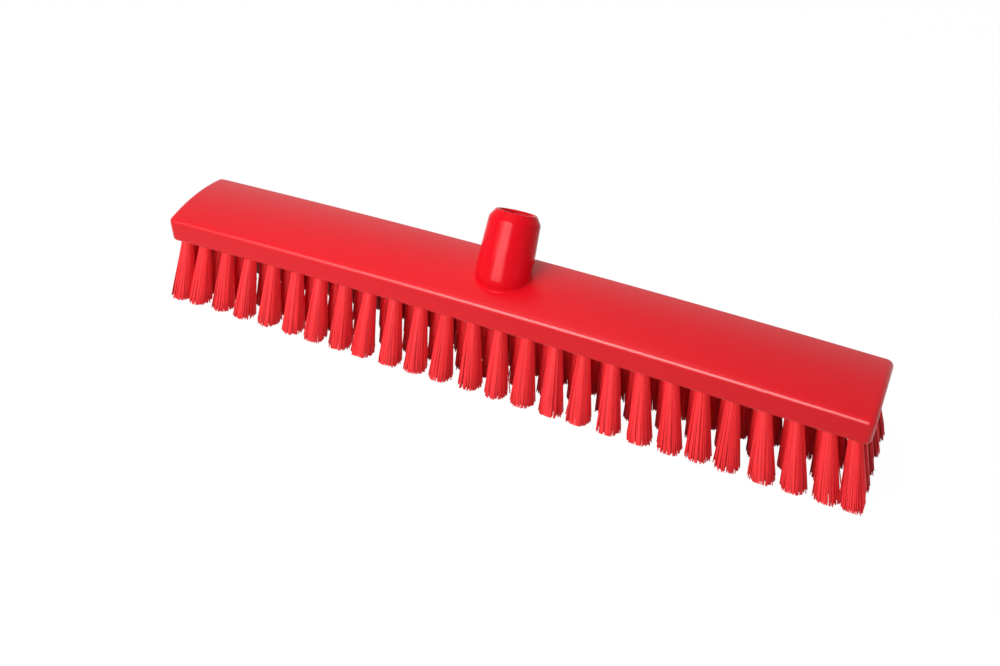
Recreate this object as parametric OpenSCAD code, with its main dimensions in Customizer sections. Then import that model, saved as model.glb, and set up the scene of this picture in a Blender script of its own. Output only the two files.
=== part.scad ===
// Push broom head: a bowed and crowned block moulded in one with a tilted
// handle socket, five staggered rows of leaning filament tufts, and the flat
// steel anchor that pins each folded tuft in its drilled hole.
// +X runs along the block, +Y is the side the socket leans to, Z = 0 is the floor.

/* [Block] */
// Length of the block
block_l = 500; // [300:10:700]
// Width of the block, front to back
block_w = 64; // [62:1:90]
// Height of the sides, from the underside to the top of their edge fillet
side_h = 19.2; // [17:0.2:26]
// Rise of the crown at mid-width above the sides
crown_rise = 3; // [1:0.5:6]
// Drop of both ends of the block below its middle
bow = 3.8; // [1:0.2:8]
// Fillet along the top edges
top_r = 4.2; // [2:0.2:4.2]
// Fillet along the bottom edges
bottom_r = 3; // [1:0.2:4]
// Radius of the four corners seen from above
corner_r = 4.8; // [4.4:0.2:8]

/* [Handle socket] */
// Lean of the socket from upright, towards +Y
socket_tilt = 29.4; // [10:0.2:34]
// Height above the crown at which the leaning axis crosses the middle of the block
socket_pivot_h = 1.3; // [0:0.1:3]
// Height of the socket's upright foot above the crown
socket_foot_h = 5.3; // [3:0.1:7]
// Distance along the axis, from the pivot, at which the leaning cone begins
socket_knee = 11.1; // [10:0.1:16]
// Length of the socket along its axis, from the pivot to its rim
socket_l = 41.2; // [38:0.2:60]
// Diameter of the foot, and of the cone where it begins
socket_base_d = 37; // [36:0.2:46]
// Diameter of the socket just below its rim chamfer
socket_top_d = 34.6; // [34.4:0.2:36]
// Length of the rim chamfer along the axis
rim_chamfer_l = 5.3; // [2:0.1:8]
// Width of the rim chamfer across the axis
rim_chamfer_w = 3.6; // [1:0.2:4]
// Diameter of the plain bore that the handle's threaded end fills
bore_d = 22.4; // [18:0.2:23]
// Depth of the bore below the rim
bore_depth = 40; // [25:1:40]
// Width of the countersink that leads the handle in
lead_in = 1.3; // [0.5:0.1:1.6]

/* [Tufts] */
// Length of filament showing under the middle of the block
trim = 50.7; // [35:0.1:80]
// Tufts in the front, middle and back rows; the rows between have one fewer
row_count = 26; // [20:2:28]
// Distance from the end tufts' centres to the ends of the block
end_margin = 9.6; // [8.6:0.2:20]
// Step from an end tuft to its neighbour in the front, middle and back rows
end_step = 15.6; // [12:0.2:20]
// Distance from the outer rows' centres to the sides of the block
side_margin = 7.5; // [7:0.1:8.5]
// Distance that the tips of the end tufts stand out beyond their holes, along X
tip_spread_x = 8.65; // [0:0.05:14]
// Distance that the tips of the outer rows stand out beyond their holes, along Y
tip_spread_y = 9.05; // [5:0.05:9.8]
// Diameter of a tuft where it leaves its hole
tuft_root_d = 7.9; // [5:0.1:8]
// Gap left between the trimmed tips of neighbouring tufts
tip_gap = 0.3; // [0.1:0.1:2]

/* [Holes and anchors] */
// Depth of the tuft holes
hole_depth = 13; // [9:0.5:14]
// Clearance between a tuft and the wall of its hole
hole_gap = 0.05; // [0.02:0.01:0.2]
// Width of the flat wire that the anchors are cut from
anchor_h = 2.4; // [1.6:0.1:3]
// Thickness of the anchor wire
anchor_t = 0.5; // [0.3:0.05:0.8]
// Bite of each end of an anchor into the wall of its hole
anchor_bite = 0.5; // [0.2:0.05:1]
// Thickness of the folded filaments between an anchor and the bottom of its hole
fold_t = 1.6; // [0.8:0.1:3]

/* [Hidden] */

red = [0.88, 0.10, 0.15];
bristle_red = [0.80, 0.08, 0.12];
steel = [0.75, 0.76, 0.78];

// Section of the bar: the crown's arc runs into the top fillets
fillet_y = block_w / 2 - top_r;
crown_R = (pow(fillet_y, 2) + pow(crown_rise, 2)) / (2 * crown_rise);
crown_top = side_h + crown_rise;
crown_z = crown_top - crown_R;

// Rounded surfaces that would only touch stand this much proud, so that they cross cleanly
proud = 0.03;
fillet_z = crown_z + sqrt(pow(crown_R - top_r, 2) - pow(fillet_y, 2)) + proud;
crown_edge_y = fillet_y * crown_R / (crown_R - top_r);

// The bend laps into the leaning cone, and leaves a fine ledge where the cone begins
knee_lap = 0.5;
knee_ledge = 0.2;

// The bow is an arc of a very large circle, centred far below the block
bow_R = round((pow(block_l / 2, 2) + pow(bow, 2)) / (2 * bow));
sweep_angle = 1.1 * asin(block_l / 2 / bow_R);

// Shapes that round the ends and corners stand this far off the bar's own faces
envelope_gap = 0.12;
corner_x = block_l / 2 - corner_r;
corner_y = block_w / 2 - corner_r;
rim_x = block_l / 2 - top_r;
toe_x = block_l / 2 - bottom_r;

// Tuft places
row_pitch = (block_w / 2 - side_margin) / 2;
end_x = block_l / 2 - end_margin;
fan_x = tip_spread_x / end_x;
fan_y = tip_spread_y / (2 * row_pitch);
inner_pitch = 2 * (end_x - end_step) / (row_count - 3);
short_pitch = 2 * end_x / (row_count - 2);
long_row = [
    -end_x,
    for (i = [0:row_count - 3]) -end_x + end_step + i * inner_pitch,
    end_x
];
short_row = [for (i = [0:row_count - 2]) -end_x + i * short_pitch];

// Tufts flare until their tips nearly touch the tips beside them
hole_d = tuft_root_d + 2 * hole_gap;
tip_step_x = min(end_step, inner_pitch, short_pitch) * (1 + fan_x);
tip_step_y = row_pitch * (1 + fan_y);
corner_lean = lean(end_x, 2 * row_pitch);
tuft_tip_d = min(tip_step_x, tip_step_y) * cos(corner_lean) - tip_gap;
flare_steps = 6;

// Rows are numbered from -2 in front to 2 at the back
function row_xs(row) = row % 2 == 0 ? long_row : short_row;

// Height of the underside above the floor, and the way a tuft's axis leans there
function underside(x) = trim - bow_R + sqrt(pow(bow_R, 2) - pow(x, 2));
function lean(x, y) = atan2(norm([x * fan_x, y * fan_y]), underside(x));
function heading(x, y) = atan2(-y * fan_y, -x * fan_x);
function tuft_length(x, y) = norm([x * fan_x, y * fan_y, underside(x)]);

// A quarter of a disc, with its corner at the origin
module quarter_disc(r) {
    intersection() {
        circle(r = r, $fn = 64);
        square(r);
    }
}

// Section of the bar seen from its end: Y to the right, Z up from the underside
module bar_section() {
    intersection() {
        translate([0, crown_z]) circle(r = crown_R, $fn = 360);
        translate([-crown_edge_y, bottom_r]) square([2 * crown_edge_y, crown_top]);
    }
    translate([-block_w / 2, bottom_r]) square([block_w, fillet_z - bottom_r]);
    translate([bottom_r - block_w / 2, 0]) square([block_w - 2 * bottom_r, bottom_r]);
    for (side = [0, 1]) mirror([side, 0]) {
        translate([fillet_y, fillet_z]) quarter_disc(top_r);
        translate([block_w / 2 - bottom_r, bottom_r]) rotate(-90) quarter_disc(bottom_r);
    }
}

// The section swept along the bow, past both ends of the block
module bowed_bar() {
    translate([0, 0, trim - bow_R]) rotate([90, 0, 0])
        rotate_extrude(angle = 2 * sweep_angle, start = 90 - sweep_angle, $fn = 2400)
            translate([bow_R, 0]) rotate(-90) bar_section();
}

// Upright box that reaches x and y to either side of the middle
module centred_box(x, y, z_from, z_to) {
    translate([-x, -y, z_from]) cube([2 * x, 2 * y, z_to - z_from]);
}

// What the four corners leave of the bar: upright rounds with a fillet above and below
module corner_envelope() {
    centred_box(corner_x, block_w, 0, 2 * trim);
    centred_box(block_l, corner_y, 0, 2 * trim);
    bottom = underside(corner_x) - envelope_gap;
    top = underside(corner_x) + fillet_z + envelope_gap;
    r = corner_r + envelope_gap;
    for (x = [-corner_x, corner_x], y = [-corner_y, corner_y])
        translate([x, y, 0]) rotate_extrude($fn = 64) {
            translate([0, bottom]) square([r - bottom_r, bottom_r]);
            translate([r - bottom_r, bottom + bottom_r]) rotate(-90) quarter_disc(bottom_r);
            translate([0, bottom + bottom_r]) square([r, top - bottom - bottom_r]);
            translate([0, top]) square([r - top_r, top_r]);
            translate([r - top_r, top]) quarter_disc(top_r);
        }
}

// What the two ends leave of the bar: a rim that follows the crown, and a straight toe below
module end_envelope() {
    rim_R = crown_R + envelope_gap;
    axis_z = underside(rim_x) + crown_z;
    toe_z = underside(toe_x) - envelope_gap;
    wall_z = toe_z + bottom_r;
    wall_h = fillet_z - bottom_r;
    centred_box(rim_x, block_w, 0, 2 * trim);
    intersection() {
        translate([0, 0, axis_z]) rotate([0, 90, 0])
            for (side = [0, 1]) mirror([0, 0, side])
                rotate_extrude($fn = 360) {
                    square([rim_R - top_r, block_l / 2]);
                    translate([rim_R - top_r, 0]) square([top_r, rim_x]);
                    translate([rim_R - top_r, rim_x]) quarter_disc(top_r);
                }
        centred_box(block_l, block_w, wall_z + wall_h / 3, 2 * trim);
    }
    rotate([90, 0, 0]) linear_extrude(2 * block_w, center = true)
        for (side = [0, 1]) mirror([side, 0]) {
            translate([0, toe_z]) square([toe_x, bottom_r]);
            translate([toe_x, wall_z]) rotate(-90) quarter_disc(bottom_r);
            translate([0, wall_z]) square([block_l / 2, wall_h * 2 / 3]);
        }
}

module bar() {
    intersection() {
        bowed_bar();
        corner_envelope();
        end_envelope();
    }
}

// Places its children on the socket's leaning axis, at a distance along it from the pivot
module on_socket_axis(along) {
    translate([0, 0, trim + crown_top + socket_pivot_h]) rotate([-socket_tilt, 0, 0])
        translate([0, 0, along]) children();
}

// Leaning cone with a chamfered rim, standing on a bend that grows out of an upright foot
module socket_wall() {
    cone_l = socket_l - socket_knee;
    on_socket_axis(socket_knee) rotate_extrude($fn = 128)
        polygon([
            [0, 0],
            [socket_base_d / 2, 0],
            [socket_top_d / 2, cone_l - rim_chamfer_l],
            [socket_top_d / 2 - rim_chamfer_w, cone_l],
            [0, cone_l]
        ]);
    hull() {
        translate([0, 0, trim + side_h]) cylinder(h = crown_rise + socket_foot_h, d = socket_base_d, $fn = 96);
        on_socket_axis(socket_knee) cylinder(h = knee_lap, d = socket_base_d - 2 * knee_ledge, $fn = 96);
    }
}

module socket_bore() {
    lead_in_d = bore_d + 2 * lead_in;
    on_socket_axis(socket_l - bore_depth) cylinder(h = bore_depth, d = bore_d, $fn = 96);
    on_socket_axis(socket_l - lead_in) cylinder(h = lead_in, d1 = bore_d, d2 = lead_in_d, $fn = 96);
    on_socket_axis(socket_l) cylinder(h = lead_in, d = lead_in_d, $fn = 96);
}

// Places its children on the axis of the tuft at x, y: Z = 0 at the underside, +Z into the block
module on_tuft_axis(x, y) {
    translate([x, y, underside(x)]) rotate([0, lean(x, y), heading(x, y)]) children();
}

module tuft_hole(x, y) {
    on_tuft_axis(x, y) translate([0, 0, -hole_d / 2]) cylinder(h = hole_depth + hole_d / 2, d = hole_d, $fn = 32);
}

module anchor(x, y) {
    w = hole_d + 2 * anchor_bite;
    on_tuft_axis(x, y) rotate([0, 0, -heading(x, y)])
        translate([-w / 2, -anchor_t / 2, hole_depth - fold_t - anchor_h]) cube([w, anchor_t, anchor_h]);
}

// Bell of filaments: straight in its hole, then flaring to the trimmed tips
module tuft(x, y) {
    root_r = tuft_root_d / 2;
    tip_r = tuft_tip_d / 2;
    reach = tuft_length(x, y);
    past_floor = tip_r;
    difference() {
        on_tuft_axis(x, y) rotate_extrude($fn = 32)
            polygon([
                [0, hole_depth],
                [root_r, hole_depth],
                [root_r, 0],
                for (k = [1:flare_steps])
                    [root_r + (tip_r - root_r) * sin(90 * k / flare_steps), -reach * k / flare_steps],
                [tip_r, -reach - past_floor],
                [0, -reach - past_floor]
            ]);
        anchor(x, y);
    }
}

module block() {
    color(red) difference() {
        union() {
            bar();
            socket_wall();
        }
        socket_bore();
        for (row = [-2:2], x = row_xs(row)) {
            tuft_hole(x, row * row_pitch);
            anchor(x, row * row_pitch);
        }
    }
}

module tuft_row(row) {
    color(bristle_red) intersection() {
        for (x = row_xs(row)) tuft(x, row * row_pitch);
        translate([-block_l, -block_w, 0]) cube([2 * block_l, 2 * block_w, trim + crown_top]);
    }
}

module anchor_row(row) {
    color(steel) for (x = row_xs(row)) anchor(x, row * row_pitch);
}

module front_row_tufts() { tuft_row(-2); }
module second_row_tufts() { tuft_row(-1); }
module middle_row_tufts() { tuft_row(0); }
module fourth_row_tufts() { tuft_row(1); }
module back_row_tufts() { tuft_row(2); }

module front_row_anchors() { anchor_row(-2); }
module second_row_anchors() { anchor_row(-1); }
module middle_row_anchors() { anchor_row(0); }
module fourth_row_anchors() { anchor_row(1); }
module back_row_anchors() { anchor_row(2); }

block();
front_row_tufts();
second_row_tufts();
middle_row_tufts();
fourth_row_tufts();
back_row_tufts();
front_row_anchors();
second_row_anchors();
middle_row_anchors();
fourth_row_anchors();
back_row_anchors();
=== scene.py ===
import bpy
import numpy as np
from mathutils import Euler, Matrix, Vector


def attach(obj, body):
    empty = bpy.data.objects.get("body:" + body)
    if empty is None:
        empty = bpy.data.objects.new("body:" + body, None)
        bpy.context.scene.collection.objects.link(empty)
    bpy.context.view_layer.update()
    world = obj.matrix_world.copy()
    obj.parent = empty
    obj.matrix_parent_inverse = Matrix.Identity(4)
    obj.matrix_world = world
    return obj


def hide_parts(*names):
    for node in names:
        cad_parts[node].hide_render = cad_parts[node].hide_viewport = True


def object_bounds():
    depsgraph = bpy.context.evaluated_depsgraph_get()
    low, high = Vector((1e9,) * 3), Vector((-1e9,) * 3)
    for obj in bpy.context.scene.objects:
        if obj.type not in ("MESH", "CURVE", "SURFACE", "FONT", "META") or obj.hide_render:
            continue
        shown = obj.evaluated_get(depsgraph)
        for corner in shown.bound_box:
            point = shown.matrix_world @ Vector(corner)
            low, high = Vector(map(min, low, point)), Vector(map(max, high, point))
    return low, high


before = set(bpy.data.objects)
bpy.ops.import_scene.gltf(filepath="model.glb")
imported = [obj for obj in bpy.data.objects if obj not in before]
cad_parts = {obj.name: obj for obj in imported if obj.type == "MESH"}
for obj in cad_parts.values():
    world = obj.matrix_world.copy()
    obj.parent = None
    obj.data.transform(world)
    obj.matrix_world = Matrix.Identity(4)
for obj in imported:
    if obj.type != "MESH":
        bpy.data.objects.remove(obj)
cad_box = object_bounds()


# ---- Block ------------------------------------------------------------------
# The body of the broom head: one bar of red polypropylene with a crowned top, rounded edges and
# a slight bow that lets its ends hang lower than its middle. It is injection moulded in one shot
# with the handle socket, and drilled from below for the tufts.
block_half_length = 0.250
block_half_width = 0.032
side_height = 0.0192
crown_rise = 0.003
bow = 0.0038
trim = 0.0507
top_round = 0.0042
bottom_round = 0.003
corner_round = 0.0048
corner_steps = 13
long_side_steps = 100
short_side_steps = 16

bow_radius = (block_half_length ** 2 + bow ** 2) / (2 * bow)
crown_half_width = block_half_width - top_round
crown_radius = (crown_half_width ** 2 + crown_rise ** 2) / (2 * crown_rise)
crown_centre = side_height + crown_rise - crown_radius


def underside(x):
    """Height of the block's underside above the floor: a point of the bow's arc, which is as high as the trim
    is long at the middle of the block."""
    return trim - bow_radius + np.sqrt(bow_radius ** 2 - x ** 2)


def crown(x, y):
    """Height of the crowned top above the floor: the crown's arc across the width, carried along the bow's
    arc."""
    return underside(x) + crown_centre + np.sqrt(crown_radius ** 2 - y ** 2)


def grid_quads(rows, columns, offset=0):
    """Corner numbers of the quads between the rows of a grid that closes on itself along its columns."""
    row, column = np.mgrid[0:rows - 1, 0:columns]
    after = (column + 1) % columns
    quads = np.stack([row * columns + column, row * columns + after,
                      (row + 1) * columns + after, (row + 1) * columns + column], axis=-1)
    return offset + quads.reshape(-1, 4)


def closed(points, quads):
    """Welds the points that share a place to the micrometre, so that seams and poles close: every corner
    takes the first point at its place, and a quad that loses a corner becomes a triangle. Returns the points
    kept, the corners, and the corners per face."""
    micrometres = np.round(points * 1e6).astype(np.int64)
    _, first, same = np.unique(micrometres, axis=0, return_index=True, return_inverse=True)
    quads = same.reshape(-1)[quads]
    kept = quads != np.roll(quads, 1, axis=1)
    sizes = kept.sum(axis=1)
    whole = sizes > 2
    return first, quads[whole][kept[whole]], sizes[whole]


def mesh_piece(name, points, quads, normals=None, weld=True):
    """A smooth mesh object, filled with whole arrays, with the shape's own normals where they are given."""
    if weld:
        first, corners, sizes = closed(points, quads)
        points, normals = points[first], None if normals is None else normals[first]
    else:
        corners, sizes = quads.ravel(), np.full(len(quads), 4)
    mesh = bpy.data.meshes.new(name)
    mesh.vertices.add(len(points))
    mesh.vertices.foreach_set("co", points.astype(np.float32).ravel())
    mesh.loops.add(len(corners))
    mesh.loops.foreach_set("vertex_index", corners.astype(np.int32))
    mesh.polygons.add(len(sizes))
    mesh.polygons.foreach_set("loop_start", (np.cumsum(sizes) - sizes).astype(np.int32))
    mesh.polygons.foreach_set("use_smooth", np.ones(len(sizes), dtype=bool))
    mesh.update(calc_edges=True)
    if normals is not None:
        mesh.normals_split_custom_set_from_vertices(normals.tolist())
    piece = bpy.data.objects.new(name, mesh)
    bpy.context.scene.collection.objects.link(piece)
    return piece


def block_outline():
    """Steps round the plan of the block: where each lies along the straight sides, as a share from -1 to 1 of
    the corner centres' distance along X and Y, and the heading of the outward normal. Corners turn through a
    quarter each, and the sides between them run straight."""
    turn = np.radians(np.linspace(0, 90, corner_steps))
    long_side = np.linspace(-1, 1, long_side_steps + 1)[1:-1]
    short_side = np.linspace(-1, 1, short_side_steps + 1)[1:-1]
    corner, long_edge, short_edge = np.ones(len(turn)), np.ones(len(long_side)), np.ones(len(short_side))
    quarter = np.pi / 2
    share_x = np.concatenate([corner, -long_side, -corner, -short_edge,
                              -corner, long_side, corner, short_edge])
    share_y = np.concatenate([corner, long_edge, corner, -short_side,
                              -corner, -long_edge, -corner, short_side])
    heading = np.concatenate([turn, quarter * long_edge, turn + quarter, 2 * quarter * short_edge,
                              turn + 2 * quarter, 3 * quarter * long_edge,
                              turn + 3 * quarter, 4 * quarter * short_edge])
    return share_x, share_y, heading


def block_surface():
    """Rings round the block from the middle of the underside, over the lower rounding, up the wall, over the
    upper rounding to where it meets the crown at the crown's own slope, and in to the ridge. A ring at an
    inset is the outline shrunk by it: the corner centres move in once the inset passes the corner radius. On
    the crown, every point of the last ring moves straight in to the ridge."""
    share_x, share_y, heading = block_outline()

    def ring(inset):
        keep = np.maximum(corner_round, inset)
        radius = np.maximum(corner_round - inset, 0)
        x = share_x * (block_half_length - keep) + radius * np.cos(heading)
        y = share_y * (block_half_width - keep) + radius * np.sin(heading)
        return x, y

    underside_rings, lower_rings, wall_rings, upper_rings, crown_rings = 6, 9, 5, 15, 17
    rows, facing = [], []
    wall = np.stack([np.cos(heading), np.sin(heading), 0 * heading])
    down = np.array([[0], [0], [-1.0]])
    for inset in np.linspace(block_half_width, bottom_round, underside_rings):
        x, y = ring(inset + 0 * heading)
        rows.append((x, y, underside(x)))
        facing.append(down + 0 * wall)
    for turn in np.radians(np.linspace(0, 90, lower_rings))[1:]:
        x, y = ring(bottom_round * (1 - np.sin(turn)) + 0 * heading)
        rows.append((x, y, underside(x) + bottom_round * (1 - np.cos(turn))))
        facing.append(down * np.cos(turn) + wall * np.sin(turn))
    crown_edge_slope = crown_half_width / np.sqrt(crown_radius ** 2 - crown_half_width ** 2)
    slope = np.abs(np.sin(heading)) * crown_edge_slope
    last_turn = np.pi / 2 - np.arctan(slope)
    last_inset = top_round * (1 - np.cos(last_turn))
    x_end, y_end = ring(last_inset)
    centre = crown(x_end, y_end) - underside(x_end) - top_round * np.sin(last_turn)
    for share in np.linspace(0, 1, wall_rings)[1:]:
        x, y = ring(0 * heading)
        rows.append((x, y, underside(x) + bottom_round + share * (centre - bottom_round)))
        facing.append(wall)

    def crown_facing(y):
        return np.stack([0 * y, y / crown_radius, np.sqrt(1 - (y / crown_radius) ** 2)])

    crown_start = crown_facing(y_end)
    swing = np.arccos(np.clip(np.sum(wall * crown_start, axis=0), -1, 1))
    for share in np.linspace(0, 1, upper_rings)[1:]:
        turn = share * last_turn
        x, y = ring(top_round * (1 - np.cos(turn)))
        rows.append((x, y, underside(x) + centre + top_round * np.sin(turn)))
        away, toward = np.sin((1 - share) * swing), np.sin(share * swing)
        facing.append((wall * away + crown_start * toward) / np.sin(swing))
    x_in = x_end * (1 - block_half_width / block_half_length)
    for share in np.linspace(0, 1, crown_rings)[1:]:
        x, y = x_end + share * (x_in - x_end), y_end * (1 - share)
        rows.append((x, y, crown(x, y)))
        facing.append(crown_facing(y))
    points = np.stack([np.stack(row, axis=-1) for row in rows]).reshape(-1, 3)
    normals = np.stack([row.T for row in facing]).reshape(-1, 3)
    bow_slope = points[:, 0] / np.sqrt(bow_radius ** 2 - points[:, 0] ** 2)
    normals[:, 0] += normals[:, 2] * bow_slope
    normals /= np.linalg.norm(normals, axis=1, keepdims=True)
    return points, grid_quads(len(rows), len(heading)), normals


def moulding_group():
    """Finish of moulded polypropylene: colour drifts a little where the melt flowed and is duller in patches,
    and a very fine grain from the mould covers the skin. Puts out Colour, Roughness and Height."""
    group = bpy.data.node_groups.new("moulded_finish", "ShaderNodeTree")
    face = group.interface
    for label in ("Colour", "Pale"):
        face.new_socket(label, in_out="INPUT", socket_type="NodeSocketColor")
    for label in ("Drift Scale", "Drift Amount", "Roughness", "Roughness Spread", "Grain Scale"):
        face.new_socket(label, in_out="INPUT", socket_type="NodeSocketFloat")
    face.new_socket("Colour", in_out="OUTPUT", socket_type="NodeSocketColor")
    face.new_socket("Roughness", in_out="OUTPUT", socket_type="NodeSocketFloat")
    face.new_socket("Height", in_out="OUTPUT", socket_type="NodeSocketFloat")
    nodes, links = group.nodes, group.links
    given = nodes.new("NodeGroupInput")
    out = nodes.new("NodeGroupOutput")
    place = nodes.new("ShaderNodeTexCoord")
    drift = nodes.new("ShaderNodeTexNoise")
    drift.inputs["Detail"].default_value = 3.0
    links.new(place.outputs["Object"], drift.inputs["Vector"])
    links.new(given.outputs["Drift Scale"], drift.inputs["Scale"])
    grain = nodes.new("ShaderNodeTexNoise")
    grain.inputs["Detail"].default_value = 1.0
    links.new(place.outputs["Object"], grain.inputs["Vector"])
    links.new(given.outputs["Grain Scale"], grain.inputs["Scale"])
    amount = nodes.new("ShaderNodeMath")
    amount.operation = "MULTIPLY"
    links.new(drift.outputs["Fac"], amount.inputs[0])
    links.new(given.outputs["Drift Amount"], amount.inputs[1])
    colour = nodes.new("ShaderNodeMix")
    colour.data_type = "RGBA"
    links.new(amount.outputs[0], colour.inputs["Factor"])
    links.new(given.outputs["Colour"], colour.inputs["A"])
    links.new(given.outputs["Pale"], colour.inputs["B"])
    spread = nodes.new("ShaderNodeMath")
    spread.operation = "MULTIPLY_ADD"
    links.new(drift.outputs["Fac"], spread.inputs[0])
    links.new(given.outputs["Roughness Spread"], spread.inputs[1])
    links.new(given.outputs["Roughness"], spread.inputs[2])
    links.new(colour.outputs["Result"], out.inputs["Colour"])
    links.new(spread.outputs[0], out.inputs["Roughness"])
    links.new(grain.outputs["Fac"], out.inputs["Height"])
    return group


moulded_finish = moulding_group()
moulded_red = (0.68, 0.0028, 0.010, 1)
moulded_pale_red = (0.72, 0.0068, 0.016, 1)
polypropylene_ior = 1.49
grain_depth = 0.0002
grain_strength = 0.05


def moulded_material(name, values, sheen):
    """A Principled material fed by the moulded finish, with that piece's own values and share of mirrored
    light."""
    material = bpy.data.materials.new(name)
    material.use_nodes = True
    nodes, links = material.node_tree.nodes, material.node_tree.links
    shader = nodes["Principled BSDF"]
    finish = nodes.new("ShaderNodeGroup")
    finish.node_tree = moulded_finish
    for label, value in values.items():
        finish.inputs[label].default_value = value
    relief = nodes.new("ShaderNodeBump")
    relief.inputs["Strength"].default_value = grain_strength
    relief.inputs["Distance"].default_value = grain_depth
    links.new(finish.outputs["Height"], relief.inputs["Height"])
    links.new(finish.outputs["Colour"], shader.inputs["Base Color"])
    links.new(finish.outputs["Roughness"], shader.inputs["Roughness"])
    links.new(relief.outputs["Normal"], shader.inputs["Normal"])
    shader.inputs["IOR"].default_value = polypropylene_ior
    shader.inputs["Specular IOR Level"].default_value = sheen
    return material


block_red = moulded_material("block_red", {
    "Colour": moulded_red, "Pale": moulded_pale_red, "Drift Scale": 16.0,
    "Drift Amount": 0.6, "Roughness": 0.27, "Roughness Spread": 0.06, "Grain Scale": 3000.0}, sheen=0.27)
block_body = mesh_piece("block_body", *block_surface())
block_body.data.materials.append(block_red)
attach(block_body, "root")
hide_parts("block")


# ---- Handle socket ----------------------------------------------------------
# A round boss in one piece with the block. Its low foot stands upright, then the boss bends over to
# the far side and runs on as a leaning cone with a wide bevelled mouth, a thin flat rim, and a
# coarse moulded thread inside for a screw-in handle.
tilt = np.radians(29.4)
ridge_height = trim + side_height + crown_rise
pivot_height = ridge_height + 0.0013
foot_top = ridge_height + 0.0053
knee = 0.0111
socket_length = 0.0412
base_radius = 0.0185
mouth_radius = 0.0173
bevel_length = 0.0053
bevel_width = 0.0036
bore_radius = 0.0112
bore_depth = 0.040
lead_in = 0.0013
thread_pitch = 0.0050
thread_height = 0.0010
thread_rings = 130
thread_run_in = 0.002
thread_crest_level = 1.6
thread_flank_slope = 4.2
foot_round = 0.0014
bend_round = 0.0030
longest_bend = 0.8
root_under_crown = 0.0012
root_floor = -0.002
foot_sink = 0.00004
shoulder_drop = 0.0015
shoulder_ease = 0.001
edge_ease = 0.0006
bevel_start = socket_length - bevel_length
taper = (base_radius - mouth_radius) / (bevel_start - knee)
socket_columns = 160


def lean_over(radius, angle, along):
    """Places a point of the leaning part: a radius and an angle about its axis and a distance along it from
    the pivot, leaned by the tilt about X."""
    side, front = radius * np.cos(angle), radius * np.sin(angle)
    along = along + 0 * side
    return np.stack([side,
                     front * np.cos(tilt) + along * np.sin(tilt),
                     pivot_height - front * np.sin(tilt) + along * np.cos(tilt)], axis=-1)


def unit(vectors):
    """The vectors, each made one metre long."""
    return vectors / np.linalg.norm(vectors, axis=-1, keepdims=True)


def rounded(start, corner, end, steps):
    """Points from start to end by way of a corner: the curve whose handles both point at the corner."""
    return [(1 - share) ** 2 * start + 2 * share * (1 - share) * corner + share ** 2 * end
            for share in np.linspace(0, 1, steps)]


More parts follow.
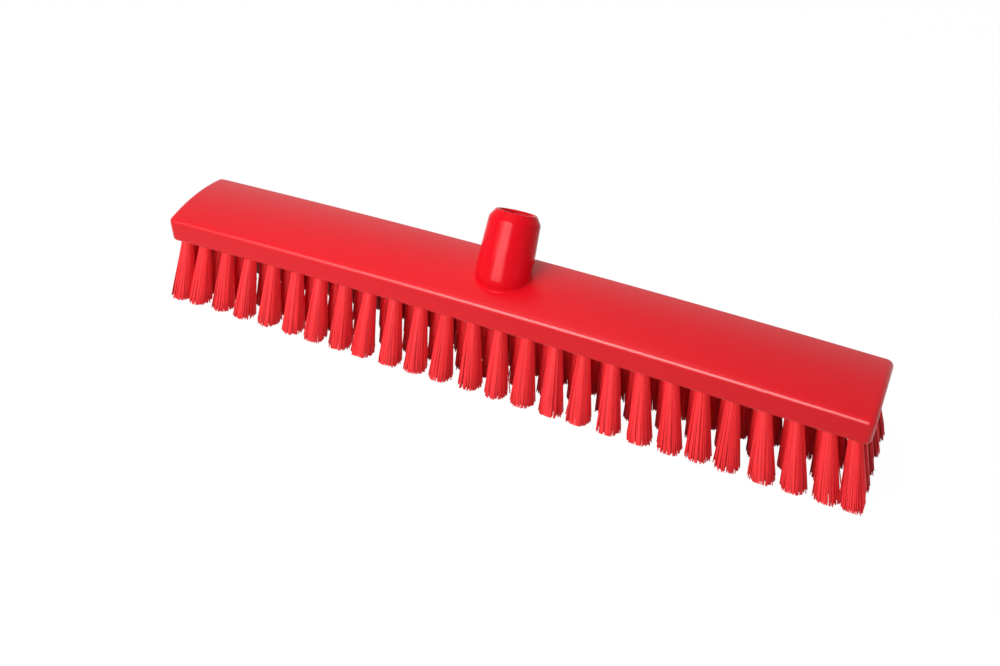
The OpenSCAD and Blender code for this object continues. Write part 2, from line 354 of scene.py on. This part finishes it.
def socket_surface():
    """Rings about the socket. The outside starts under the crown, swings up through the foot's rounding,
    climbs the upright foot to its shoulder, bends over to the leaning ring where the cone begins, and follows
    the cone to the bevel; then come the rim, the lead-in and the threaded bore, closed by its flat bottom.
    The shoulder is the smooth lesser of the foot's top and a height just under the leaning ring, which dips
    below the foot's top at the back."""
    angle = np.linspace(0, 2 * np.pi, socket_columns, endpoint=False)
    around = np.column_stack([np.cos(angle), np.sin(angle)])

    def at_foot(radius, height):
        return np.column_stack([radius * around, height])

    def on_crown(radius, sink):
        return at_foot(radius, crown(radius * around[:, 0], radius * around[:, 1]) - sink)

    corner = on_crown(base_radius, 0)
    ring = lean_over(base_radius, angle, knee)
    over = ring[:, 2] - shoulder_drop - foot_top
    shoulder = at_foot(base_radius, foot_top + (over - np.sqrt(over ** 2 + shoulder_ease ** 2)) / 2)
    rise = (shoulder[:, 2] - corner[:, 2] - foot_round)[:, None]
    bend = np.minimum(bend_round, longest_bend * rise)
    slant = unit(ring - shoulder)
    up = np.array([0, 0, 1.0])
    foot = corner + foot_round * up
    rows = [lean_over(0, angle, root_floor), on_crown(base_radius + foot_round, root_under_crown)]
    rows += rounded(on_crown(base_radius + foot_round, foot_sink), corner, foot, steps=9)
    rows += [foot + share * (rise - bend) * up for share in (0.3, 0.65)]
    bent = shoulder + bend * slant
    rows += rounded(shoulder - bend * up, shoulder, bent, steps=9)
    rows += [bent + share * (ring - bent) for share in (0.3, 0.6, 0.85, 0.96)]
    cone = bevel_start - knee
    for along in (0, 0.0003, 0.1 * cone, 0.3 * cone, 0.5 * cone, 0.7 * cone, 0.9 * cone):
        rows.append(lean_over(base_radius - taper * along, angle, knee + along))
    rim_radius = mouth_radius - bevel_width
    bevel_slope = bevel_width / bevel_length
    # Distance along the axis and radius of each ring. The edges of the bevel and of the rim are eased.
    for along, radius in ((bevel_start - edge_ease, mouth_radius + taper * edge_ease),
                          (bevel_start - edge_ease / 3, mouth_radius - 0.00003),
                          (bevel_start + edge_ease / 3, mouth_radius - 0.00025),
                          (bevel_start + edge_ease, mouth_radius - edge_ease * bevel_slope),
                          (bevel_start + 0.35 * bevel_length, mouth_radius - 0.35 * bevel_width),
                          (bevel_start + 0.65 * bevel_length, mouth_radius - 0.65 * bevel_width),
                          (socket_length - 0.0005, rim_radius + 0.00034),
                          (socket_length - 0.00012, rim_radius + 0.00005),
                          (socket_length, rim_radius - 0.0002),
                          (socket_length, bore_radius + lead_in + 0.0002),
                          (socket_length - 0.0002, bore_radius + lead_in - 0.0001),
                          (socket_length - lead_in, bore_radius)):
        rows.append(lean_over(radius, angle, along))
    thread_top = socket_length - lead_in
    thread_bottom = socket_length - bore_depth
    for along in np.linspace(thread_top - 0.0003, thread_bottom + 0.0003, thread_rings):
        phase = np.mod((along - thread_bottom) / thread_pitch - angle / (2 * np.pi), 1.0)
        ridge = np.clip(thread_crest_level - thread_flank_slope * np.abs(phase - 0.5), 0, 1)
        fade = np.clip(min(thread_top - along, along - thread_bottom) / thread_run_in, 0, 1)
        rows.append(lean_over(bore_radius - thread_height * ridge * fade, angle, along))
    rows += [lean_over(bore_radius * share, angle, thread_bottom) for share in (1, 0.5, 0)]
    return np.stack(rows).reshape(-1, 3), grid_quads(len(rows), socket_columns)


socket_red = moulded_material("socket_red", {
    "Colour": moulded_red, "Pale": moulded_pale_red, "Drift Scale": 40.0,
    "Drift Amount": 0.6, "Roughness": 0.14, "Roughness Spread": 0.06, "Grain Scale": 3000.0}, sheen=0.055)
handle_socket = mesh_piece("handle_socket", *socket_surface())
handle_socket.data.materials.append(socket_red)
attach(handle_socket, "root")
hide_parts("block")


# ---- Tufts ------------------------------------------------------------------
# Five staggered rows of bundles of straight red polypropylene monofilament, each bundle folded
# over a steel anchor in its hole. A bundle spreads from its hole and is trimmed flat below, with
# a few filaments short, parted or standing off, as a cut brush has.
row_pitch = 0.01225
end_tuft_x = 0.2404
end_step = 0.0156
long_count = 26
tip_spread_x = 0.00865
tip_spread_y = 0.00905
fan_x = tip_spread_x / end_tuft_x
fan_y = tip_spread_y / (2 * row_pitch)
root_radius = 0.00375
filament_radius = 0.00041
filaments_in_tuft = 210
filament_rings = 5
filament_sides = 4
outer_tip_radius = 0.0083
inner_tip_radius = 0.0072
tuft_lean = 0.0007
outer_crowding = 0.30
place_jitter = 0.02
turn_jitter = 0.08
clumps_in_tuft = 9
clump_area = (0.05, 1)
clump_pull = (0.02, 0.10)
tip_jitter = 0.03
stray_share = 0.03
stray_reach = (1.0, 1.35)
widest_stray = 1.12
short_share = 0.04
short_by = (0.001, 0.004)
trim_unevenness = 0.0002
into_block = 0.0025
inside_cad_box = 0.00005
facing_droop = 0.08

long_row = np.concatenate([[-end_tuft_x],
                           np.linspace(-end_tuft_x + end_step, end_tuft_x - end_step, long_count - 2),
                           [end_tuft_x]])
short_row = np.linspace(-end_tuft_x, end_tuft_x, long_count - 1)


def filament_places(tufts, chance):
    """Where each filament lies across its tuft, as shares of the tuft's radius at the root and at the tip. In
    the round root, places turn by the golden angle and crowd toward the outside. In the tip, they gather a
    little round the nearest of a few random clump centres, and a few filaments stray out."""
    count = filaments_in_tuft
    number = np.arange(count) + 0.5
    radius = (number / count) ** outer_crowding * (1 + place_jitter * chance.standard_normal((tufts, count)))
    golden_turns = number * np.pi * (1 + 5 ** 0.5) + chance.uniform(0, 2 * np.pi, (tufts, 1))
    angle = golden_turns + turn_jitter * chance.standard_normal((tufts, count))
    radius = np.clip(radius, 0, 1)
    place = np.stack([radius * np.cos(angle), radius * np.sin(angle)], axis=-1)
    clump_angle = chance.uniform(0, 2 * np.pi, (tufts, clumps_in_tuft))
    clump_radius = np.sqrt(chance.uniform(*clump_area, (tufts, clumps_in_tuft)))
    clump = np.stack([clump_radius * np.cos(clump_angle), clump_radius * np.sin(clump_angle)], axis=-1)
    distance = np.linalg.norm(place[:, :, None, :] - clump[:, None, :, :], axis=-1)
    nearest = np.take_along_axis(clump, distance.argmin(axis=-1)[..., None], axis=1)
    pull = chance.uniform(*clump_pull, (tufts, count, 1))
    spread = place + pull * (nearest - place) + tip_jitter * chance.standard_normal((tufts, count, 2))
    stray = chance.uniform(0, 1, (tufts, count, 1)) < stray_share
    spread = np.where(stray, spread * chance.uniform(*stray_reach, (tufts, count, 1)), spread)
    size = np.maximum(np.linalg.norm(spread, axis=-1, keepdims=True), 1)
    return place, spread / size * np.minimum(size, widest_stray)


def filament_tubes(line):
    """Thin tubes along lines of points, with flat ends: a ring of corners stands round every point of a line,
    square to the line's direction from its first point to its last."""
    direction = unit(line[:, :, -1] - line[:, :, 0])
    side_a = unit(np.cross(direction, np.array([1.0, 0.0, 0.0])))
    side_b = np.cross(direction, side_a)
    turn = (np.arange(filament_sides) + 0.5) * 2 * np.pi / filament_sides
    ring = side_a[:, :, None, :] * np.cos(turn)[:, None] + side_b[:, :, None, :] * np.sin(turn)[:, None]
    points = line[:, :, :, None, :] + filament_radius * ring[:, :, None, :, :]
    base = np.arange(0, points[..., 0].size, filament_rings * filament_sides)
    sides = grid_quads(filament_rings, filament_sides)[:, ::-1]
    cap = np.arange(filament_sides)
    caps = np.array([cap, cap[::-1] + (filament_rings - 1) * filament_sides])
    return points, (base[:, None, None] + np.vstack([sides, caps])[None]).reshape(-1, 4)


def tuft_row(tuft_x, row_y, tip_radius, seed):
    """Points, quads, tone and outward direction of a row of tufts. Each tuft leans a little its own way, and
    its radius grows evenly from the root to the tip. Each filament runs from its place in the root to its
    place in the tip with a slight curl, and ends at its own height: most at the floor, a few short of it."""
    chance = np.random.default_rng(seed)
    tufts, count = len(tuft_x), filaments_in_tuft
    root = np.stack([tuft_x, np.full(tufts, row_y), underside(tuft_x)], axis=-1)
    tip = np.stack([tuft_x * (1 + fan_x), np.full(tufts, row_y * (1 + fan_y)), np.zeros(tufts)], axis=-1)
    tip[:, :2] += tuft_lean * chance.standard_normal((tufts, 2))
    along = tip - root
    across = unit(np.cross(along, np.array([0.0, 1.0, 0.0])))
    over = unit(np.cross(across, along))
    place, spread = filament_places(tufts, chance)
    curl = trim_unevenness * chance.standard_normal((tufts, count, 2))
    short = np.abs(chance.standard_normal((tufts, count))) * trim_unevenness
    cut_short = chance.uniform(0, 1, (tufts, count)) < short_share
    short += np.where(cut_short, chance.uniform(*short_by, (tufts, count)), 0)

    def filament_point(s):
        bell = root_radius + (tip_radius - root_radius) * np.clip(s, 0, 1)
        blend = np.clip(s, 0, 1)[..., None]
        flat = (place * (1 - blend) + spread * blend) * bell[..., None] + curl * blend ** 2
        return (root[:, None, :] + along[:, None, :] * s[..., None]
                + across[:, None, :] * flat[..., :1] + over[:, None, :] * flat[..., 1:])

    full = filament_point(np.ones((tufts, count)))
    drop = root[:, None, 2] - full[..., 2]
    last = (root[:, None, 2] - short) / drop
    first = -into_block / np.linalg.norm(along, axis=-1)[:, None] + 0 * last
    line = np.stack([filament_point(first + (last - first) * share)
                     for share in np.linspace(0, 1, filament_rings)], axis=2)
    points, quads = filament_tubes(line)
    sideways = across[:, None, :] * spread[..., :1] + over[:, None, :] * spread[..., 1:]
    outward = unit(sideways - facing_droop * unit(along)[:, None, :])
    outward = np.broadcast_to(outward[:, :, None, None, :], points.shape).reshape(-1, 3)
    tone = np.repeat(chance.uniform(0, 1, tufts * count), filament_rings * filament_sides)
    low, high = np.array(cad_box[0]), np.array(cad_box[1])
    points = np.clip(points.reshape(-1, 3), low + inside_cad_box, high - inside_cad_box)
    return points, quads, tone, outward


filament_roughness_spread = 0.12
filament_sheen = 0.2
share_of_tuft_surface = 0.95


def filament_material(name, deep, bright, roughness, glow):
    """Drawn filament: each has its own tone between a deep and a bright red and a drawn, half-gloss skin. It
    takes the light mostly as its tuft's outer surface does, and it glows: the glow is painted light, its own
    red given off as if lit, though the filament is no lamp."""
    material = bpy.data.materials.new(name)
    material.use_nodes = True
    nodes, links = material.node_tree.nodes, material.node_tree.links
    shader = nodes["Principled BSDF"]
    tone = nodes.new("ShaderNodeAttribute")
    tone.attribute_name = "tone"
    colour = nodes.new("ShaderNodeValToRGB")
    colour.color_ramp.elements[0].color = deep
    colour.color_ramp.elements[1].color = bright
    links.new(tone.outputs["Fac"], colour.inputs["Fac"])
    links.new(colour.outputs["Color"], shader.inputs["Base Color"])
    dull = nodes.new("ShaderNodeMath")
    dull.operation = "MULTIPLY_ADD"
    dull.inputs[1].default_value = filament_roughness_spread
    dull.inputs[2].default_value = roughness
    links.new(tone.outputs["Fac"], dull.inputs[0])
    links.new(dull.outputs[0], shader.inputs["Roughness"])
    own = nodes.new("ShaderNodeNewGeometry")
    outward = nodes.new("ShaderNodeAttribute")
    outward.attribute_name = "outward"
    facing = nodes.new("ShaderNodeMix")
    facing.data_type = "VECTOR"
    facing.inputs["Factor"].default_value = share_of_tuft_surface
    even = nodes.new("ShaderNodeVectorMath")
    even.operation = "NORMALIZE"
    links.new(own.outputs["Normal"], facing.inputs["A"])
    links.new(outward.outputs["Vector"], facing.inputs["B"])
    links.new(facing.outputs["Result"], even.inputs[0])
    links.new(even.outputs[0], shader.inputs["Normal"])
    # The emitted red is painted light: the filament glows with its own colour, though it is no lamp.
    links.new(colour.outputs["Color"], shader.inputs["Emission Color"])
    shader.inputs["Emission Strength"].default_value = glow
    shader.inputs["Specular IOR Level"].default_value = filament_sheen
    shader.inputs["IOR"].default_value = polypropylene_ior
    return material


# Lit and shaded copies of one material: the front row's strong glow is painted light, and the other rows'
# darker red with scarcely any glow is painted shade.
red_filament_painted_light = filament_material(
    "red_filament_painted_light", (0.90, 0.026, 0.033, 1), (0.94, 0.032, 0.040, 1), roughness=0.42, glow=0.22)
red_filament_painted_shade = filament_material(
    "red_filament_painted_shade", (0.86, 0.016, 0.026, 1), (0.92, 0.024, 0.032, 1), roughness=0.42, glow=0.03)
row_names = {-2: "front_row", -1: "second_row", 0: "middle_row", 1: "fourth_row", 2: "back_row"}
for row, name in row_names.items():
    tuft_x = long_row if row % 2 == 0 else short_row
    tip_radius = outer_tip_radius if abs(row) == 2 else inner_tip_radius
    points, quads, tone, outward = tuft_row(tuft_x, row * row_pitch, tip_radius, seed=40 + row)
    tufts = mesh_piece(name + "_filaments", points, quads, weld=False)
    tone_layer = tufts.data.attributes.new("tone", "FLOAT", "POINT")
    tone_layer.data.foreach_set("value", tone.astype(np.float32))
    outward_layer = tufts.data.attributes.new("outward", "FLOAT_VECTOR", "POINT")
    outward_layer.data.foreach_set("vector", outward.astype(np.float32).ravel())
    # The front row wears the painted-light copy, and the other rows wear the painted-shade copy.
    tufts.data.materials.append(red_filament_painted_light if row == -2 else red_filament_painted_shade)
    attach(tufts, "root")
    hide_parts(name + "_tufts")


# ---- Anchors ----------------------------------------------------------------
# Short flat lengths of steel wire, driven across each hole over the fold of the filaments. They
# sit deep in the block, so only their drawn steel finish is given here.
streaks_per_metre = (200, 4000, 4000)
dark_steel = (0.42, 0.43, 0.45, 1)
light_steel = (0.66, 0.67, 0.69, 1)
steel_roughness = 0.22
steel_roughness_spread = 0.2


def anchor_material():
    """Drawn flat steel wire: fine streaks along the wire in tone and roughness."""
    material = bpy.data.materials.new("anchor_steel")
    material.use_nodes = True
    nodes, links = material.node_tree.nodes, material.node_tree.links
    shader = nodes["Principled BSDF"]
    place = nodes.new("ShaderNodeTexCoord")
    stretch = nodes.new("ShaderNodeMapping")
    stretch.inputs["Scale"].default_value = streaks_per_metre
    streak = nodes.new("ShaderNodeTexNoise")
    streak.inputs["Scale"].default_value = 1.0
    links.new(place.outputs["Object"], stretch.inputs["Vector"])
    links.new(stretch.outputs["Vector"], streak.inputs["Vector"])
    colour = nodes.new("ShaderNodeValToRGB")
    colour.color_ramp.elements[0].color = dark_steel
    colour.color_ramp.elements[1].color = light_steel
    links.new(streak.outputs["Fac"], colour.inputs["Fac"])
    links.new(colour.outputs["Color"], shader.inputs["Base Color"])
    rough = nodes.new("ShaderNodeMath")
    rough.operation = "MULTIPLY_ADD"
    rough.inputs[1].default_value = steel_roughness_spread
    rough.inputs[2].default_value = steel_roughness
    links.new(streak.outputs["Fac"], rough.inputs[0])
    links.new(rough.outputs[0], shader.inputs["Roughness"])
    shader.inputs["Metallic"].default_value = 1.0
    return material


anchor_steel = anchor_material()
for name in row_names.values():
    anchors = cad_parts[name + "_anchors"]
    anchors.data.materials.clear()
    anchors.data.materials.append(anchor_steel)


# ---- Floor and light --------------------------------------------------------
# A plain white sweep in a pale surround that is brighter on the left. Two far soft boxes in front
# draw the line along the block's edge and the strip on the socket; small fills above and before
# the left half let the light fall off to the right, where a weak one opens the socket's far side.
floor_reach = 4.0
floor_grey = (0.35, 0.35, 0.35, 1)
floor_white = 1.08
white_share = 0.91
left_surround = 0.45
right_surround = 0.05


def white_to_eye(nodes, links):
    """One for rays that come from the camera, straight or by way of a glossy or a clear piece, and nought for
    light that falls on the object: the largest of the three ray kinds' flags."""
    path = nodes.new("ShaderNodeLightPath")
    mirrored = nodes.new("ShaderNodeMath")
    mirrored.operation = "MAXIMUM"
    links.new(path.outputs["Is Glossy Ray"], mirrored.inputs[0])
    links.new(path.outputs["Is Transmission Ray"], mirrored.inputs[1])
    any_view = nodes.new("ShaderNodeMath")
    any_view.operation = "MAXIMUM"
    links.new(path.outputs["Is Camera Ray"], any_view.inputs[0])
    links.new(mirrored.outputs[0], any_view.inputs[1])
    return any_view.outputs[0]


def floor_material():
    """Pale floor that shows as plain white to the eye and keeps a faint share of the object's shadow."""
    material = bpy.data.materials.new("floor_white")
    material.use_nodes = True
    nodes, links = material.node_tree.nodes, material.node_tree.links
    nodes.remove(nodes["Principled BSDF"])
    diffuse = nodes.new("ShaderNodeBsdfDiffuse")
    diffuse.inputs["Color"].default_value = floor_grey
    glow = nodes.new("ShaderNodeEmission")
    glow.inputs["Strength"].default_value = floor_white
    seen = nodes.new("ShaderNodeMath")
    seen.operation = "MULTIPLY"
    seen.inputs[1].default_value = white_share
    both = nodes.new("ShaderNodeMixShader")
    links.new(white_to_eye(nodes, links), seen.inputs[0])
    links.new(seen.outputs[0], both.inputs["Fac"])
    links.new(diffuse.outputs[0], both.inputs[1])
    links.new(glow.outputs[0], both.inputs[2])
    links.new(both.outputs[0], nodes["Material Output"].inputs["Surface"])
    return material


floor_mesh = bpy.data.meshes.new("floor")
floor_corners = [(floor_reach * x, floor_reach * y, 0) for x, y in ((-1, -1), (1, -1), (1, 1), (-1, 1))]
floor_mesh.from_pydata(floor_corners, [], [(0, 1, 2, 3)])
floor = bpy.data.objects.new("floor", floor_mesh)
bpy.context.scene.collection.objects.link(floor)
floor_mesh.materials.append(floor_material())

world = bpy.context.scene.world or bpy.data.worlds.new("surround")
bpy.context.scene.world = world
world.use_nodes = True
world_nodes, world_links = world.node_tree.nodes, world.node_tree.links
surround = world_nodes["Background"]
surround.inputs["Color"].default_value = (1, 1, 1, 1)
toward = world_nodes.new("ShaderNodeTexCoord")
split = world_nodes.new("ShaderNodeSeparateXYZ")
side_light = world_nodes.new("ShaderNodeMapRange")
side_light.inputs["From Min"].default_value = -1.0
side_light.inputs["From Max"].default_value = 1.0
side_light.inputs["To Min"].default_value = left_surround
side_light.inputs["To Max"].default_value = right_surround
world_links.new(toward.outputs["Generated"], split.inputs["Vector"])
world_links.new(split.outputs["X"], side_light.inputs["Value"])
level = world_nodes.new("ShaderNodeMix")
level.inputs["B"].default_value = 1.0
world_links.new(white_to_eye(world_nodes, world_links), level.inputs["Factor"])
world_links.new(side_light.outputs["Result"], level.inputs["A"])
world_links.new(level.outputs["Result"], surround.inputs["Strength"])


def soft_box(name, position, aim, size, power):
    """A rectangular lamp at a position, turned to face the point it is aimed at."""
    data = bpy.data.lights.new(name, "AREA")
    data.shape = "RECTANGLE"
    data.size, data.size_y = size
    data.energy = power
    lamp = bpy.data.objects.new(name, data)
    back = unit(np.array(position) - np.array(aim))
    almost_up = np.array([0.0, 0.0, 1.0]) + 1e-6
    right = unit(np.cross(almost_up, back))
    up = np.cross(back, right)
    lamp.matrix_world = Matrix([list(row) for row in zip(right, up, back, position)] + [[0, 0, 0, 1]])
    lamp.visible_camera = False
    bpy.context.scene.collection.objects.link(lamp)
    return lamp


soft_box("key_box", (-0.40, -1.22, 0.85), (0, 0, 0.06), (1.40, 0.50), 13.0)
soft_box("top_box", (-0.08, -0.02, 0.62), (-0.05, 0, 0.06), (0.40, 0.40), 1.8).visible_glossy = False
soft_box("right_box", (1.20, -0.30, 0.30), (0, 0, 0.06), (0.60, 0.40), 2.6).visible_glossy = False
soft_box("line_box", (-0.17, -1.35, 0.65), (0, 0, 0.06), (1.05, 0.80), 40.0).visible_diffuse = False
soft_box("front_box", (-0.22, -0.55, 0.22), (-0.16, 0, 0.04), (0.40, 0.25), 1.0).visible_glossy = False


# ---- Camera -----------------------------------------------------------------
# Stands before the block, right of its middle and well above it, and looks down across it to the
# left, so that the front row, the crowned top and the socket's mouth all show.
camera_place = (0.2463, -0.54749, 0.51162)
camera_turn = np.radians((50.873, -0.3821, 24.7133))
camera_data = bpy.data.cameras.new("camera")
camera_data.lens = 40.51
camera_data.sensor_width = 36.0
camera = bpy.data.objects.new("camera", camera_data)
camera.matrix_world = Matrix.LocRotScale(Vector(camera_place), Euler(camera_turn), None)
bpy.context.scene.collection.objects.link(camera)
bpy.context.scene.camera = camera
bpy.context.scene.view_settings.view_transform = "Standard"
